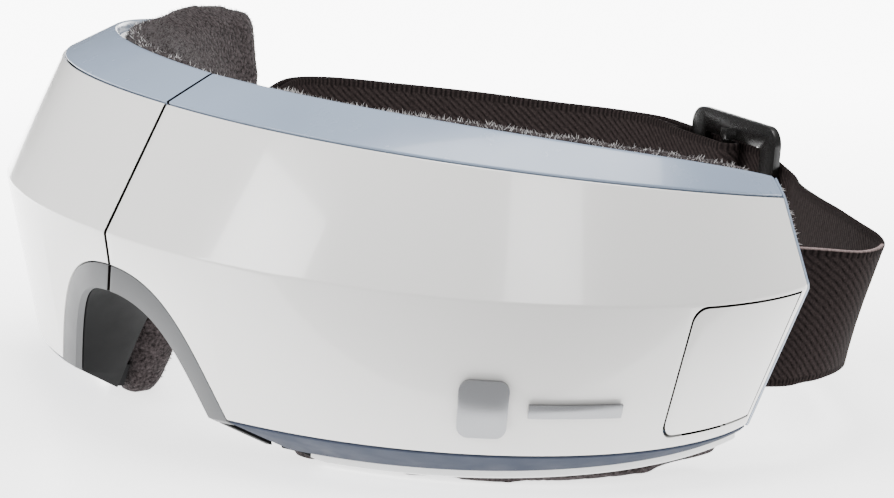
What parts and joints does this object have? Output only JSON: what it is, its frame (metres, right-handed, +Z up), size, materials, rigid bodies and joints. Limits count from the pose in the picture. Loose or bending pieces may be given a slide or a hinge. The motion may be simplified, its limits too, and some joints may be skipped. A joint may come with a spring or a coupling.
{
  "type": "folding eye massager mask",
  "caption": "Wraparound eye massager mask with a centre fold, padded inner face, side control key and an adjustable elastic head strap.",
  "frame": {"origin": "centre of the overall box in X and Y, on the plane that the mask stands on", "axes": "+Z up, +X to the viewer's right when facing the front, +Y from the front towards the wearer and the strap; the mask leans back 6 degrees, as it stands on its pads"},
  "size_m": [0.2, 0.1738, 0.0713],
  "materials": {
    "white_shell": "gloss white moulded plastic",
    "blue_housing": "pearl blue-grey moulded plastic",
    "bezel_white": "satin white plastic",
    "trim_grey": "satin silver-grey",
    "guard_dark": "smooth charcoal plastic",
    "plush": "short-pile dark grey-brown plush",
    "webbing": "dark brown elastic webbing, diagonal rib",
    "slider_black": "black moulded plastic",
    "chrome": "polished",
    "steel": "plain steel",
    "bag_film": "translucent film",
    "heater_film": "amber polyimide film",
    "board_green": "solder mask",
    "battery_wrap": "shrink wrap",
    "pump_white": "moulded",
    "tube": "clear silicone"
  },
  "bodies": {
    "right_half": {"right_front_cover": "white_shell", "right_rear_housing": "blue_housing", "right_pad_bezel": "bezel_white", "right_face_pad": "plush", "right_airbag": "bag_film", "right_heater_film": "heater_film", "right_nose_trim": "trim_grey", "right_nose_guard": "guard_dark", "right_hinge_leaf": "steel", "right_strap_bracket": "steel", "right_motor": "steel", "right_air_tube": "tube", "right_cover_screw_1": "steel", "right_cover_screw_2": "steel", "right_cover_screw_3": "steel", "hinge_pin": "steel", "bridge_gusset": "plush", "badge_plate": "chrome", "badge_bar": "chrome", "battery_pack": "battery_wrap", "main_board": "board_green", "key_switch": "slider_black"},
    "left_half": {"left_front_cover": "white_shell", "left_rear_housing": "blue_housing", "left_pad_bezel": "bezel_white", "left_face_pad": "plush", "left_airbag": "bag_film", "left_heater_film": "heater_film", "left_nose_trim": "trim_grey", "left_nose_guard": "guard_dark", "left_hinge_leaf": "steel", "left_strap_bracket": "steel", "left_motor": "steel", "left_air_tube": "tube", "left_cover_screw_1": "steel", "left_cover_screw_2": "steel", "left_cover_screw_3": "steel", "charge_jack": "steel", "pump_motor": "steel", "pump_head": "pump_white", "solenoid_valve": "steel"},
    "control_key": {"control_key": "white_shell"},
    "right_motor_weight": {"right_motor_weight": "steel"},
    "left_motor_weight": {"left_motor_weight": "steel"},
    "strap": {"head_strap": "webbing"},
    "slider": {"strap_slider": "slider_black", "strap_end_loop": "webbing"}
  },
  "joints": [
    {"name": "fold_hinge", "type": "hinge", "parent": "right_half", "child": "left_half", "pos_m": [0, -0.06652, 0.0492], "axis": [0, -0.1045, -0.9945], "range_deg": [0, 16], "deforming": ["head_strap", "bridge_gusset"]},
    {"name": "strap_swing", "type": "hinge", "parent": "right_half", "child": "strap", "pos_m": [0, -0.06652, 0.0492], "axis": [0, -0.1045, -0.9945], "range_deg": [0, 8]},
    {"name": "slider_slide", "type": "slide", "parent": "strap", "child": "slider", "axis": [-0.9903, 0.1379, -0.0145], "range_m": [0, 0.008]},
    {"name": "key_press", "type": "slide", "parent": "right_half", "child": "control_key", "axis": [-0.9452, -0.024, 0.3257], "range_m": [0, 0.0008], "stiffness_N_per_m": 500},
    {"name": "right_motor_spin", "type": "hinge", "parent": "right_half", "child": "right_motor_weight", "pos_m": [0.04994, -0.0584, 0.05991], "axis": [0.8711, 0.4885, -0.0513], "continuous": true},
    {"name": "left_motor_spin", "type": "hinge", "parent": "left_half", "child": "left_motor_weight", "pos_m": [-0.04994, -0.0584, 0.05991], "axis": [-0.8711, 0.4885, -0.0513], "continuous": true}
  ],
  "couplings": [
    {"joint": "strap_swing", "follows": "fold_hinge", "ratio": 0.5}
  ]
}
